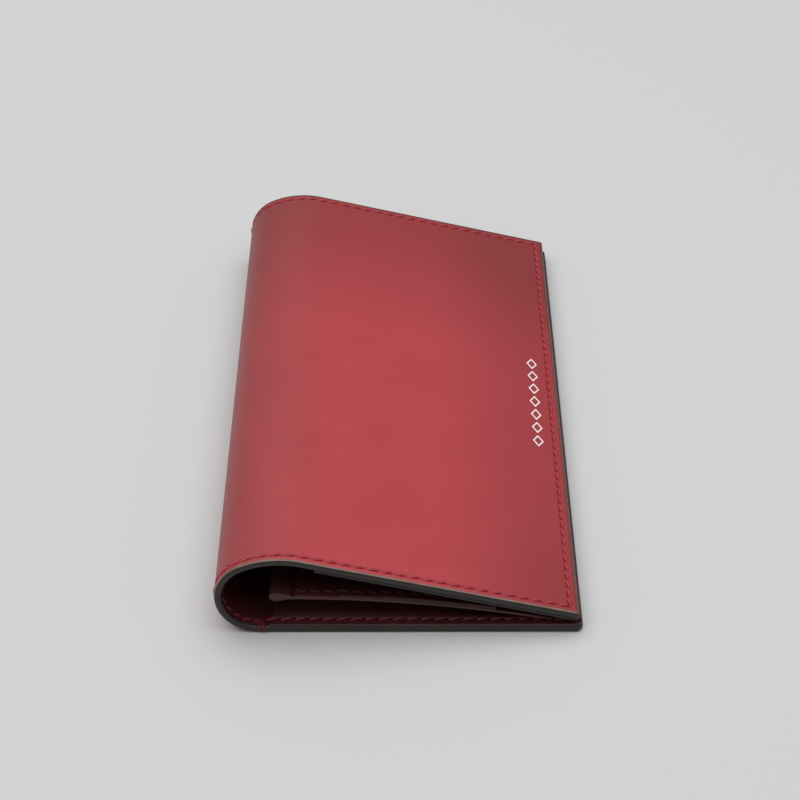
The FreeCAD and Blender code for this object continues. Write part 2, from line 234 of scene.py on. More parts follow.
def build(name, points, faces, uvs, materials, face_slots=None, normals=None, rim_faces=0):
    """A mesh piece. Given normals shade it, apart from the rim faces at the end of its list."""
    mesh = bpy.data.meshes.new(name)
    mesh.from_pydata([tuple(point) for point in points], [], faces)
    shape = bmesh.new()
    shape.from_mesh(mesh)
    bmesh.ops.recalc_face_normals(shape, faces=shape.faces)
    shape.to_mesh(mesh)
    shape.free()
    layer = mesh.uv_layers.new(name="UVMap")
    for loop in mesh.loops:
        layer.data[loop.index].uv = uvs[loop.vertex_index]
    for material in materials:
        mesh.materials.append(material)
    if face_slots:
        mesh.polygons.foreach_set("material_index", face_slots)
    mesh.polygons.foreach_set("use_smooth", [True] * len(mesh.polygons))
    mesh.update()
    if normals:
        rim_start = len(mesh.polygons) - rim_faces
        shading = []
        for polygon in mesh.polygons:
            for index in polygon.vertices:
                shading.append(normals[index] if polygon.index < rim_start else polygon.normal)
        mesh.normals_split_custom_set(shading)
    piece = bpy.data.objects.new(name, mesh)
    bpy.context.scene.collection.objects.link(piece)
    return piece


PROBE = 0.08 * MM


def sheet(name, surface, travels, alongs, top, bottom, materials, outline=None):
    """A closed sheet of leather; top and bottom give its depth at each place."""
    outline = outline or (lambda travel, along: (travel, along))
    rows, columns = len(travels), len(alongs)
    points, uvs, normals, faces, slots = [], [], [], [], []
    for depth_at, facing in ((top, 1), (bottom, -1)):
        for travel in travels:
            for along in alongs:
                spot = outline(travel, along)
                points.append(surface.place(*spot, depth_at(travel, along)))
                uvs.append(spot)
                ahead = surface.place(travel + PROBE, along, depth_at(travel + PROBE, along))
                behind = surface.place(travel - PROBE, along, depth_at(travel - PROBE, along))
                right = surface.place(travel, along + PROBE, depth_at(travel, along + PROBE))
                left = surface.place(travel, along - PROBE, depth_at(travel, along - PROBE))
                normals.append((ahead - behind).cross(right - left).normalized() * facing)
    lower = rows * columns
    for row in range(rows - 1):
        for column in range(columns - 1):
            a = row * columns + column
            b = a + columns
            faces.append((a, a + 1, b + 1, b))
            faces.append((lower + a, lower + b, lower + b + 1, lower + a + 1))
            slots += [0, 0]
    rim = [column for column in range(columns)]
    rim += [row * columns + columns - 1 for row in range(1, rows)]
    rim += [(rows - 1) * columns + column for column in range(columns - 2, -1, -1)]
    rim += [row * columns for row in range(rows - 2, 0, -1)]
    for first, second in zip(rim, rim[1:] + rim[:1]):
        faces.append((first, lower + first, lower + second, second))
        slots.append(1 if len(materials) > 1 else 0)
    return build(name, points, faces, uvs, materials, slots, normals, len(rim))


def path_direction(sections, row, turn):
    """Direction in which one corner of the rings travels, also at the first and last ring."""
    if len(sections) < 3:
        return sections[-1][turn] - sections[0][turn]
    if row == 0:
        first, second, third = (sections[index][turn] for index in (0, 1, 2))
        return 4 * second - 3 * first - third
    if row == len(sections) - 1:
        first, second, third = (sections[index][turn] for index in (-1, -2, -3))
        return 3 * first - 4 * second + third
    return sections[row + 1][turn] - sections[row - 1][turn]


def runs_forward(ring, direction):
    """True when a ring of points turns anticlockwise seen from where the sweep is heading."""
    area = Vector()
    for index, point in enumerate(ring):
        area += ring[index - 1].cross(point)
    return area.dot(direction) > 0


def sweep(name, sections, materials, side_slots=None):
    """A closed tube through rings of points; side_slots gives, row by row, a material for each side."""
    ring = len(sections[0])
    side_slots = side_slots or [[0] * ring] * len(sections)
    points = [point for section in sections for point in section]
    uvs, normals = [], []
    travelled = 0.0
    for row, section in enumerate(sections):
        if row:
            travelled += (section[0] - sections[row - 1][0]).length
        outwards = 1 if runs_forward(section, path_direction(sections, row, 0)) else -1
        for turn in range(ring):
            uvs.append((travelled, turn / ring * 4 * MM))
            around = section[(turn + 1) % ring] - section[turn - 1]
            normal = around.cross(path_direction(sections, row, turn)).normalized()
            normals.append(normal * outwards)
    faces, slots = [], []
    for row in range(len(sections) - 1):
        low, high = row * ring, (row + 1) * ring
        for turn in range(ring):
            following = (turn + 1) % ring
            faces.append((low + turn, low + following, high + following, high + turn))
            slots.append(side_slots[row][turn])
    top = (len(sections) - 1) * ring
    faces += [tuple(range(ring - 1, -1, -1)), tuple(range(top, top + ring))]
    slots += [0, 0]
    return build(name, points, faces, uvs, materials, slots, normals, 2)


# ---------------- materials

def node_material(name):
    """A new material, with its node tree and its one shader."""
    material = bpy.data.materials.new(name)
    material.use_nodes = True
    tree = material.node_tree
    return material, tree, tree.nodes["Principled BSDF"]


def ramp(tree, source, stops):
    """Colour that runs through stops of place and colour as the source grows."""
    node = tree.nodes.new("ShaderNodeValToRGB")
    elements = node.color_ramp.elements
    while len(elements) < len(stops):
        elements.new(0.5)
    for element, (place, colour) in zip(elements, stops):
        element.position = place
        element.color = (*colour, 1)
    tree.links.new(source, node.inputs["Fac"])
    return node.outputs["Color"]


def noise(tree, coordinate, scale, detail=3.0, roughness=0.55):
    """Cloudy value between 0 and 1; the scale counts clouds to the metre."""
    node = tree.nodes.new("ShaderNodeTexNoise")
    node.inputs["Scale"].default_value = scale
    node.inputs["Detail"].default_value = detail
    node.inputs["Roughness"].default_value = roughness
    tree.links.new(coordinate, node.inputs["Vector"])
    return node.outputs["Fac"]


def math_node(tree, operation, *values):
    """Result of one operation on values that are numbers or sockets."""
    node = tree.nodes.new("ShaderNodeMath")
    node.operation = operation
    for socket, value in zip(node.inputs, values):
        if isinstance(value, (int, float)):
            socket.default_value = value
        else:
            tree.links.new(value, socket)
    return node.outputs[0]


def mixed(tree, first, second, share=1.0, blend="MIX"):
    """Two colours mixed; the share may be a number or a socket."""
    node = tree.nodes.new("ShaderNodeMixRGB")
    node.blend_type = blend
    for name, value in (("Fac", share), ("Color1", first), ("Color2", second)):
        if isinstance(value, (float, tuple)):
            node.inputs[name].default_value = value
        else:
            tree.links.new(value, node.inputs[name])
    return node.outputs["Color"]


def bumped(tree, height, strength, distance, under=None):
    """Normal raised by a height, on top of another normal if one is given."""
    node = tree.nodes.new("ShaderNodeBump")
    node.inputs["Strength"].default_value = strength
    node.inputs["Distance"].default_value = distance
    tree.links.new(height, node.inputs["Height"])
    if under:
        tree.links.new(under, node.inputs["Normal"])
    return node.outputs["Normal"]


# Dye with painted shade for the groove that the stitches press in.
PRESSED_DYE_AND_SHADE = (0.30, 0.014, 0.020)
# Painted shade with a greyish painted reflection for the spine's outer face.
SPINE_SHADE_AND_SHEEN = (0.175, 0.050, 0.041)


def leather_material(name, light, dark, grain=1.0, roughness=0.46, deep=None, darkening=None):
    """Smooth dyed leather: uneven dye, fine pebbled grain and, where darkening is given, darker borders
    with painted shade and reflection mixed in.
    """
    material, tree, shader = node_material(name)
    coordinate = tree.nodes.new("ShaderNodeTexCoord").outputs["UV"]
    cloud = noise(tree, coordinate, 38, 4)
    speckle = noise(tree, coordinate, 1500, 2)
    dye = ramp(tree, cloud, [(0.36, dark), (0.66, light)])
    fleck = ramp(tree, speckle, [(0.35, (0.90, 0.90, 0.90)), (0.65, (1, 1, 1))])
    colour = mixed(tree, dye, fleck, blend="MULTIPLY")
    if darkening:
        shades = darkening(tree, coordinate, cloud)
        # Mixes in the darker tones: the borders, the spine's painted shade and reflection, the seams'
        # dye and painted shade.
        for shade, tone in zip(shades, (deep, SPINE_SHADE_AND_SHEEN, PRESSED_DYE_AND_SHADE)):
            colour = mixed(tree, colour, (*tone, 1), shade)
    tree.links.new(colour, shader.inputs["Base Color"])
    gloss = noise(tree, coordinate, 260, 3)
    spread_gloss = tree.nodes.new("ShaderNodeMapRange")
    spread_gloss.inputs["To Min"].default_value = roughness - 0.05
    spread_gloss.inputs["To Max"].default_value = roughness + 0.07
    tree.links.new(gloss, spread_gloss.inputs["Value"])
    tree.links.new(spread_gloss.outputs[0], shader.inputs["Roughness"])
    shader.inputs["Specular IOR Level"].default_value = 0.34
    pebble = tree.nodes.new("ShaderNodeTexVoronoi")
    pebble.feature = "SMOOTH_F1"
    pebble.inputs["Scale"].default_value = 1900
    pebble.inputs["Smoothness"].default_value = 0.7
    tree.links.new(coordinate, pebble.inputs["Vector"])
    crease = noise(tree, coordinate, 620, 4, 0.6)
    height = math_node(tree, "ADD", pebble.outputs["Distance"], crease)
    fine = bumped(tree, height, 0.3 * grain, 0.2 * MM)
    broad = bumped(tree, noise(tree, coordinate, 75, 2), 0.12, 0.6 * MM, fine)
    tree.links.new(broad, shader.inputs["Normal"])
    return material


def cover_darkening(tree, coordinate, cloud):
    """Shares of three darker tones by place on the flat sheet: darker borders, painted shade and
    reflection on the spine, dye and painted shade in the pressed seams.
    """
    parts = tree.nodes.new("ShaderNodeSeparateXYZ")
    tree.links.new(coordinate, parts.inputs[0])

    def between(source, low, high, gain):
        node = tree.nodes.new("ShaderNodeMapRange")
        node.interpolation_type = "SMOOTHSTEP"
        node.inputs["From Min"].default_value = low
        node.inputs["From Max"].default_value = high
        node.inputs["To Max"].default_value = gain
        tree.links.new(source, node.inputs["Value"])
        return node.outputs[0]

    # Darker towards the free edge, the back edge, the far end and the near corner of the free edge.
    free_edge = between(parts.outputs["X"], SHELL.length - 45 * MM, SHELL.length - 4 * MM, 0.46)
    back_edge = between(parts.outputs["X"], 40 * MM, 4 * MM, 0.50)
    far_end = between(parts.outputs["Y"], 8 * MM, 98 * MM, 0.65)
    # Painted shade on the spine's outer face, with less of it towards the underside.
    spine = between(parts.outputs["X"], FRONT_START + 12 * MM, FOLD_TRAVEL[2], 0.62)
    under = between(parts.outputs["X"], FOLD_TRAVEL[1], FOLD_TRAVEL[0] - 15 * MM, 0.55)
    spine = math_node(tree, "SUBTRACT", spine, under)
    from_middle = math_node(tree, "ABSOLUTE", parts.outputs["Y"])
    end_inset = math_node(tree, "SUBTRACT", HALF_LENGTH, from_middle)
    tip_inset = math_node(tree, "SUBTRACT", SHELL.length, parts.outputs["X"])
    inset = math_node(tree, "MINIMUM", end_inset, tip_inset)
    inset = math_node(tree, "MINIMUM", inset, parts.outputs["X"])
    from_seam = math_node(tree, "SUBTRACT", inset, SEAM_INSET)
    from_seam = math_node(tree, "ABSOLUTE", from_seam)
    # Dye and painted shade along the pressed seam groove.
    pressed = between(from_seam, 1.0 * MM, 0.3 * MM, 0.7)
    near_half = between(parts.outputs["Y"], -40 * MM, -95 * MM, 0.5)
    near_corner = math_node(tree, "MULTIPLY", free_edge, near_half)
    total = math_node(tree, "ADD", free_edge, far_end)
    total = math_node(tree, "ADD", total, back_edge)
    total = math_node(tree, "ADD", total, near_corner)
    wobble = math_node(tree, "MULTIPLY_ADD", cloud, 0.22, -0.11)
    total = math_node(tree, "ADD", total, wobble)
    limited = tree.nodes.new("ShaderNodeClamp")
    limited.inputs["Max"].default_value = 0.9
    tree.links.new(total, limited.inputs["Value"])
    return limited.outputs[0], spine, pressed


def thread_material(name, dip, crest):
    """Waxed thread: two plied strands, with painted shade where they sink between turns."""
    material, tree, shader = node_material(name)
    coordinate = tree.nodes.new("ShaderNodeTexCoord").outputs["UV"]
    turn = tree.nodes.new("ShaderNodeMapping")
    turn.inputs["Rotation"].default_value = (0, 0, math.radians(38))
    tree.links.new(coordinate, turn.inputs["Vector"])
    ply = tree.nodes.new("ShaderNodeTexWave")
    ply.inputs["Scale"].default_value = 420
    ply.inputs["Distortion"].default_value = 0.6
    tree.links.new(turn.outputs[0], ply.inputs["Vector"])
    tree.links.new(ramp(tree, ply.outputs["Fac"], [(0.15, dip), (0.7, crest)]),
              shader.inputs["Base Color"])
    shader.inputs["Roughness"].default_value = 0.5
    shader.inputs["Specular IOR Level"].default_value = 0.35
    tree.links.new(bumped(tree, ply.outputs["Fac"], 0.6, 0.1 * MM), shader.inputs["Normal"])
    return material


def paint_material(name, low, high, roughness):
    """Rounded, painted leather edge: satin and slightly uneven."""
    material, tree, shader = node_material(name)
    coordinate = tree.nodes.new("ShaderNodeTexCoord").outputs["UV"]
    cloud = noise(tree, coordinate, 300, 4)
    tree.links.new(ramp(tree, cloud, [(0.3, low), (0.7, high)]), shader.inputs["Base Color"])
    shader.inputs["Roughness"].default_value = roughness
    tree.links.new(bumped(tree, cloud, 0.25, 0.1 * MM), shader.inputs["Normal"])
    return material


def foil_material():
    """White stamped foil, faintly mottled."""
    material, tree, shader = node_material("stamped_foil")
    coordinate = tree.nodes.new("ShaderNodeTexCoord").outputs["Object"]
    grain = noise(tree, coordinate, 2200, 3)
    colour = ramp(tree, grain, [(0.3, (0.80, 0.79, 0.78)), (0.6, (0.93, 0.92, 0.91))])
    tree.links.new(colour, shader.inputs["Base Color"])
    shader.inputs["Roughness"].default_value = 0.34
    tree.links.new(bumped(tree, grain, 0.2, 0.1 * MM), shader.inputs["Normal"])
    return material


def plain_material(name, colour, roughness):
    material, tree, shader = node_material(name)
    shader.inputs["Base Color"].default_value = (*colour, 1)
    shader.inputs["Roughness"].default_value = roughness
    return material


OUTER = leather_material("outer_leather", (0.49, 0.047, 0.059), (0.445, 0.041, 0.052),
                         grain=1.6, roughness=0.44, deep=(0.225, 0.022, 0.024), darkening=cover_darkening)
INNER = leather_material("inner_leather", (0.060, 0.010, 0.012), (0.045, 0.007, 0.009),
                         grain=0.8, roughness=0.5)
BURNISHED = leather_material("burnished_edge", (0.078, 0.025, 0.024), (0.052, 0.017, 0.017),
                             grain=0.5, roughness=0.36)
GUSSET = leather_material("gusset_leather", (0.046, 0.009, 0.010), (0.033, 0.007, 0.008),
                          grain=0.6, roughness=0.42)
THREAD = thread_material("waxed_thread", (0.25, 0.011, 0.020), (0.47, 0.050, 0.070))
# A darker copy of the waxed thread: painted shade for the rows and wraps inside the wallet.
SHADED_INNER_THREAD = thread_material("inner_thread_painted_shade", (0.09, 0.006, 0.012), (0.17, 0.017, 0.027))
# A still darker copy of the waxed thread: painted shade for the stitches of the card leaf and ticket
# pocket.
SHADED_LEAF_THREAD = thread_material("leaf_thread_painted_shade", (0.03, 0.006, 0.008), (0.08, 0.011, 0.015))
PAINT = paint_material("edge_paint", (0.012, 0.0085, 0.0078), (0.021, 0.015, 0.0132), 0.36)
PANEL_PAINT = paint_material("inner_panel_paint", (0.008, 0.006, 0.0058), (0.014, 0.010, 0.0095), 0.6)
# Painted highlight on the outer shoulder of the painted edge, and a dimmer, warmer one along the free
# edge.
SHOULDER_HIGHLIGHT = paint_material("painted_highlight_on_shoulder", (0.15, 0.085, 0.066), (0.24, 0.145, 0.115), 0.36)
FREE_EDGE_HIGHLIGHT = paint_material("painted_highlight_on_free_edge", (0.085, 0.042, 0.031), (0.14, 0.073, 0.053), 0.40)
ROOT_STRIP = leather_material("leaf_root_leather", (0.12, 0.018, 0.022), (0.09, 0.014, 0.017),
                              grain=1.2, roughness=0.46)
FOIL = foil_material()
# Painted shade: a near-black dish stands in for the depth of each pricked hole.
HOLE_SHADE = plain_material("pricked_hole_shade", (0.06, 0.005, 0.008), 0.8)


# ---------------- the bent shell

def edge_distance(travel, along):
    """Distance from the nearest outer edge of the flat sheet."""
    return min(HALF_LENGTH - abs(along), travel, SHELL.length - travel)


def smooth_dip(distance, half_width):
    """1 at no distance, falling smoothly to 0 at the half width."""
    share = min(abs(distance) / half_width, 1.0)
    return (1 + math.cos(math.pi * share)) / 2


def seam_dip(travel, along):
    """The channel that the pulled stitches press into the leather."""
    return GROOVE_DEPTH * smooth_dip(edge_distance(travel, along) - SEAM_INSET, GROOVE_HALF_WIDTH)


def shoulder(travel, along):
    """How far the leather rolls down towards its painted edge."""
    return 0.10 * MM * max(0.0, 1 - (edge_distance(travel, along) - BEAD_INSET) / (0.8 * MM)) ** 2


def outer_depth(travel, along):
    """Depth of the outer leather's face."""
    return seam_dip(travel, along) + shoulder(travel, along)


def inner_depth(travel, along):
    """Depth of the lining's face, where the seam is pressed in less deep."""
    return LINING_TOP - 0.7 * seam_dip(travel, along) - shoulder(travel, along)


SEAM_STEPS = [step * MM for step in (0.7, 0.9, 1.1, 1.3, 1.5, 1.75, 1.95, 2.15, 2.35, 2.6,
                                     2.85, 3.05, 3.25, 3.45, 3.9)]
BEND_STEP = 0.45 * MM
FLAT_STEP = 9.0 * MM
LENGTH_STEP = 12.0 * MM


def inset_steps(inset):
    """Seam steps of a layer whose edge is drawn in a little from the outline."""
    return [inset] + [step for step in SEAM_STEPS if step > inset + 0.05 * MM]


def along_values(inset=BEAD_INSET):
    """Places along the length for a grid that is fine at the seams."""
    edge = [HALF_LENGTH - step for step in inset_steps(inset)]
    middle = spread(-HALF_LENGTH + 5 * MM, HALF_LENGTH - 5 * MM, LENGTH_STEP)
    return merged(edge, [-value for value in edge], middle)


def span_limits(span):
    """Travel where one span of the shell starts and ends: mid-section to mid-section."""
    start = 0.0 if span == 0 else (FOLD_TRAVEL[span - 1] + FOLD_TRAVEL[span]) / 2
    end = SHELL.length if span == 6 else (FOLD_TRAVEL[span] + FOLD_TRAVEL[span + 1]) / 2
    return start, end


def span_travels(span, inset=BEAD_INSET):
    """Travels for a span's grid: fine at the seams and where the leather bends."""
    start, end = span_limits(span)
    fold = FOLD_TRAVEL[span]
    if span == 0:
        bend_start = fold - 6 * MM
        middle = spread(5 * MM, bend_start, FLAT_STEP)
        return merged(inset_steps(inset), middle, spread(bend_start, end, BEND_STEP))
    if span == 6:
        bend_end = fold + 6 * MM
        tip = [end - step for step in inset_steps(inset)]
        return merged(spread(start, bend_end, BEND_STEP), spread(bend_end, end - 5 * MM, FLAT_STEP), tip)
    return spread(start, end, BEND_STEP)


def bend_across(piece, span):
    """Bakes a piece of the shell's transform into its mesh; the reach over the fold that it crosses is
    worked out but not used.
    """
    low, high = span_limits(span)
    fold = FOLD_TRAVEL[span]
    low = max(low, fold - 4.5 * MM)
    high = min(high, fold + 4.5 * MM)
    start = SHELL.place(low, 0)
    end = SHELL.place(high, 0)
    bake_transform(piece)


def shell_nodes(span, kind):
    """Names of the CAD pieces that one span stands in for."""
    if span == 0:
        return ["back_cover_" + kind]
    if span == 6:
        return ["spine_%s_6" % kind, "front_cover_" + kind]
    return ["spine_%s_%d" % (kind, span)]


def drawn_in(inset):
    """Outline rule of a layer whose edge is drawn in."""
    return lambda travel, along: rounded(travel, along, inset)


def make_shell_sheets():
    alongs = along_values()
    outline = drawn_in(BEAD_INSET)
    for span in range(7):
        travels = span_travels(span)
        outer = sheet("outer_leather_%d" % span, SHELL, travels, alongs, outer_depth,
                      lambda travel, along: LEATHER, [OUTER], outline)
        inner = sheet("lining_%d" % span, SHELL, travels, alongs,
                      lambda travel, along: LEATHER + GLUE, inner_depth, [INNER], outline)
        layers = ((outer, "outer_leather", "leather"), (inner, "inner_leather", "lining"))
        for piece, slot, kind in layers:
            bend_across(piece, span)
            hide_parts(*shell_nodes(span, kind))


BEAD_SIDES = 15
HIGHLIGHT_SIDES = 3


def highlight_sides(path):
    """Materials round each ring of an edge: paint, with a painted highlight on the outer shoulder,
    dimmer along the free edge.
    """
    sides = []
    for travel, along, out_travel, out_along in path:
        # The free edge and its corners get the dimmer painted highlight.
        highlight_slot = 2 if abs(out_travel) > 0.4 else 1
        sides.append([highlight_slot] * HIGHLIGHT_SIDES + [0] * (BEAD_SIDES + 2 - HIGHLIGHT_SIDES))
    return sides


def bead_ring(spot, low, high, inset, bulge):
    """One section of a painted edge: a squarish dome that laps over both faces of the layers."""
    travel, along, out_travel, out_along = spot
    middle, half = (low + high) / 2, (high - low) / 2 + 0.02 * MM
    ring = []

    def add(depth, reach):
        ring.append(SHELL.place(travel + out_travel * reach, along + out_along * reach, depth))

    for index in range(BEAD_SIDES):
        angle = math.pi * index / (BEAD_SIDES - 1)
        sideways = math.copysign(abs(math.cos(angle)) ** 0.85, math.cos(angle))
        forward = max(math.sin(angle), 0.0) ** 0.8
        add(middle - half * sideways, -inset + (inset + bulge) * forward)
    add(high - 0.15 * MM, -inset)
    add(low + 0.15 * MM, -inset)
    return ring


def end_path(travels, side):
    """Places along one end of the shell, each with its outward direction on the flat sheet."""
    return [(travel, side * HALF_LENGTH, 0.0, float(side)) for travel in travels]


def corner_path(tip, heading, side, radius):
    """The arc round a cover's corner, from the end to the free edge."""
    path = []
    for index in range(1, 8):
        angle = math.pi / 2 * index / 8
        out_travel, out_along = heading * math.sin(angle), side * math.cos(angle)
        path.append((tip - heading * radius + radius * out_travel,
                     side * (HALF_LENGTH - radius) + radius * out_along, out_travel, out_along))
    return path


def cover_path(tip, heading, radius, travels):
    """Round a cover's three edges: up one end, along the free edge and back down the other end."""
    limit = tip - heading * radius
    ends = sorted([value for value in travels if (limit - value) * heading > 0.1 * MM] + [limit],
                  reverse=heading < 0)
    path = end_path(ends, -1) + corner_path(tip, heading, -1, radius)
    alongs = spread(-HALF_LENGTH + radius, HALF_LENGTH - radius, 5 * MM)
    path += [(tip, along, float(heading), 0.0) for along in alongs]
    path += corner_path(tip, heading, 1, radius)[::-1] + end_path(ends[::-1], 1)
    return path


def make_painted_edges():
    for span in range(7):
        travels = span_travels(span)
        if span == 0:
            paths = [cover_path(0.0, -1, BACK_CORNER, travels)]
        elif span == 6:
            paths = [cover_path(SHELL.length, 1, FRONT_CORNER, travels)]
        else:
            paths = [end_path(travels, -1), end_path(travels, 1)]
        for number, path in enumerate(paths):
            rings = [bead_ring(spot, 0.0, LINING_TOP, BEAD_INSET, BEAD_BULGE) for spot in path]
            materials = [PAINT, SHOULDER_HIGHLIGHT, FREE_EDGE_HIGHLIGHT]
            edge = sweep("painted_edge_%d_%d" % (span, number), rings, materials, highlight_sides(path))
            bend_across(edge, span)


# ---------------- saddle stitching

THREAD_SLOT, HOLE_SHADE_SLOT, SHADED_INNER_THREAD_SLOT, SHADED_LEAF_THREAD_SLOT = range(4)


class StitchMesh:
    """Gathers many stitches, and the pricked holes at their ends, into one mesh."""

    RINGS = 8
    SIDES = 7

    def __init__(self):
        self.points, self.uvs, self.faces, self.slots = [], [], [], []

    def add(self, surface, travel, along, direction, bed, inside=False, thread=None):
        """One stitch centred on a place, running along a direction of the flat sheet."""
        base = len(self.points)
        flip = -1 if inside else 1
        if thread is None:
            # Rows inside the wallet take the darker thread, which is painted shade.
            thread = SHADED_INNER_THREAD_SLOT if inside else THREAD_SLOT
        thickness = 0.7 if thread == SHADED_LEAF_THREAD_SLOT else 1.0
        run = STITCH_RUN
        run_travel, run_along = direction
        side_travel, side_along = -run_along, run_travel
        for ring in range(self.RINGS):
            share = ring / (self.RINGS - 1) * 2 - 1
            lift = (0.5 * MM * (1 - abs(share) ** 2.6) - 0.2 * MM) * thickness
            girth = STITCH_WIDTH / 2 * (1 - 0.5 * abs(share) ** 4) * thickness
            for side in range(self.SIDES):
                angle = 2 * math.pi * side / self.SIDES
                across = math.cos(angle) * girth
                rise = math.sin(angle) * girth * 0.62
                reach = share * run / 2
                spot_travel = travel + run_travel * reach + side_travel * across
                spot_along = along + run_along * reach + side_along * across
                depth = bed - flip * (lift + rise)
                self.points.append(surface.place(spot_travel, spot_along, depth))
                self.uvs.append((reach, angle * girth))
        for ring in range(self.RINGS - 1):
            for side in range(self.SIDES):
                following = (side + 1) % self.SIDES
                low, high = base + ring * self.SIDES, base + (ring + 1) * self.SIDES
                self.faces.append((low + side, low + following, high + following, high + side))
                self.slots.append(thread)
        end = base + (self.RINGS - 1) * self.SIDES
        self.faces.append(tuple(range(base + self.SIDES - 1, base - 1, -1)))
        self.faces.append(tuple(range(end, end + self.SIDES)))
        self.slots += [thread, thread]
        for sign in (-1, 1):
            reach = sign * (run / 2 - 0.12 * MM)
            self.hole(surface, travel + run_travel * reach, along + run_along * reach, bed, flip)

    def hole(self, surface, travel, along, bed, flip):
        """A shallow dish, painted dark as the shade in the hole where the thread goes down through the
        leather.
        """
        base = len(self.points)
        rim = 0.46 * MM
        for side in range(8):
            angle = 2 * math.pi * side / 8
            spot = surface.place(travel + math.cos(angle) * rim, along + math.sin(angle) * rim,
                                 bed - flip * 0.012 * MM)
            self.points.append(spot)
            self.uvs.append((travel, along))
        self.points.append(surface.place(travel, along, bed + flip * 0.12 * MM))
        self.uvs.append((travel, along))
        for side in range(8):
            self.faces.append((base + side, base + (side + 1) % 8, base + 8))
            self.slots.append(HOLE_SHADE_SLOT)
        self.faces.append(tuple(base + side for side in range(7, -1, -1)))
        self.slots.append(HOLE_SHADE_SLOT)

    def finish(self, name):
        """Turns what was gathered into one mesh piece."""
        materials = [THREAD, HOLE_SHADE, SHADED_INNER_THREAD, SHADED_LEAF_THREAD]
        return build(name, self.points, self.faces, self.uvs, materials, self.slots)


def seam_places(low, high, pitch=STITCH_PITCH):
    """Middles of the whole number of stitches that fits best between two places."""
    count = max(1, round((high - low) / pitch))
    step = (high - low) / count
    return [low + step * (index + 0.5) for index in range(count)]


# Directions of a stitch on the flat sheet, across the ends' seams and along the length, each
# turned by the slant one way for the outer face and the other way for the inner face.
ACROSS = (math.cos(STITCH_SLANT), math.sin(STITCH_SLANT))
ACROSS_INSIDE = (ACROSS[0], -ACROSS[1])
LENGTHWISE = (-ACROSS[1], ACROSS[0])
LENGTHWISE_INSIDE = (ACROSS[1], ACROSS[0])


def end_seam_stitches():
    """Middles of every stitch of the two long seams over the ends, from tip to tip."""
    return seam_places(SEAM_INSET, SHELL.length - SEAM_INSET)


def inner_bed(travel):
    """Depth of the innermost sewn layer at the seam."""
    depth = LINING_TOP
    if travel < BACK_PANEL_END:
        depth = PANEL_TOP
    if travel < ROOT_STRIP_END:
        depth = STRIP_TOP
    if travel > FRONT_START + PASSPORT_MOUTH:
        depth = LINING_TOP + GLUE + PASSPORT_PANEL
    return depth - 0.7 * GROOVE_DEPTH


def make_stitching():
    row = HALF_LENGTH - SEAM_INSET
    for span in range(7):
        start, end = span_limits(span)
        stitches = StitchMesh()
        for travel in end_seam_stitches():
            if not start <= travel < end:
                continue
            for side in (-1, 1):
                stitches.add(SHELL, travel, side * row, ACROSS, GROOVE_DEPTH)
                stitches.add(SHELL, travel, side * row, ACROSS_INSIDE, inner_bed(travel), True)
        if span in (0, 6):
            travel = SEAM_INSET if span == 0 else SHELL.length - SEAM_INSET
            for along in seam_places(-row, row):
                stitches.add(SHELL, travel, along, LENGTHWISE, GROOVE_DEPTH)
                stitches.add(SHELL, travel, along, LENGTHWISE_INSIDE, inner_bed(travel), True)
        piece = stitches.finish("stitching_%d" % span)
        bend_across(piece, span)
        names = ["back_cover_stitching"] if span == 0 else ["spine_stitching_%d" % span]
        if span == 6:
            names.append("front_cover_stitching")
        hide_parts(*names)


# ---------------- inner panels

MOUTH_STEPS = [step * MM for step in (0.0, 0.15, 0.3, 0.5, 0.9, 1.15, 1.3, 1.6, 1.9, 2.05, 2.4, 3.5)]


def lipped(high, mouth, grooved=True):
    """Depth rule of a panel's inner face, whose mouth is creased and rounded over."""
    def depth(travel, along):
        distance = abs(travel - mouth)
        crease = 0.10 * MM * smooth_dip(distance - 1.6 * MM, 0.45 * MM)
        worn = 0.14 * MM * max(0.0, 1 - distance / (0.5 * MM)) ** 2
        groove = 0.7 * seam_dip(travel, along) if grooved else 0.0
        return high - crease - worn - groove
    return depth


def ride(piece, body, slot, *nodes):
    """Fastens a piece to a body and hides the CAD pieces that it replaces; the slot is not used."""
    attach(piece, body)
    if nodes:
        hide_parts(*nodes)
    return piece


def bead(name, path, low, high, bulge, body, material):
    """Rounded outer edge of an inner panel."""
    rings = [bead_ring(spot, low, high, PANEL_BEAD_INSET, bulge) for spot in path]
    ride(sweep(name, rings, [material]), body, "inner_leather")


